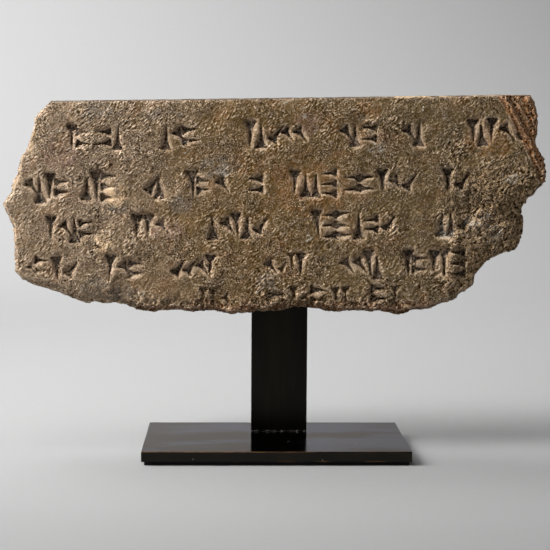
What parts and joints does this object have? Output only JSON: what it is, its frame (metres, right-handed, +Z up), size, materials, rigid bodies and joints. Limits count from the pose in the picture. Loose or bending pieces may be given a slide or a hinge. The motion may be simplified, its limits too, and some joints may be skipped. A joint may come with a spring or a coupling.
{
  "type": "inscribed stone slab fragment on stand",
  "caption": "Broken slab of carved stone with rows of wedge-shaped strokes, carried by a flat metal bar on a rectangular base plate.",
  "frame": {"origin": "centre of the stand's underside, where it rests on the table", "axes": "+X to the right of the carved face, +Y away from its viewer, +Z up"},
  "size_m": [0.3757, 0.1064, 0.2518],
  "materials": {
    "stone": "matte, weathered and chipped",
    "bar_metal": "near-black patina, satin",
    "plate_metal": "near-black patina, waxed, rubbed to copper brown at the edges",
    "felt": "black felt"
  },
  "bodies": {
    "root": {"inscribed_slab": "stone", "upright_bar": "bar_metal", "base_plate": "plate_metal", "felt_pad": "felt"}
  },
  "joints": []
}
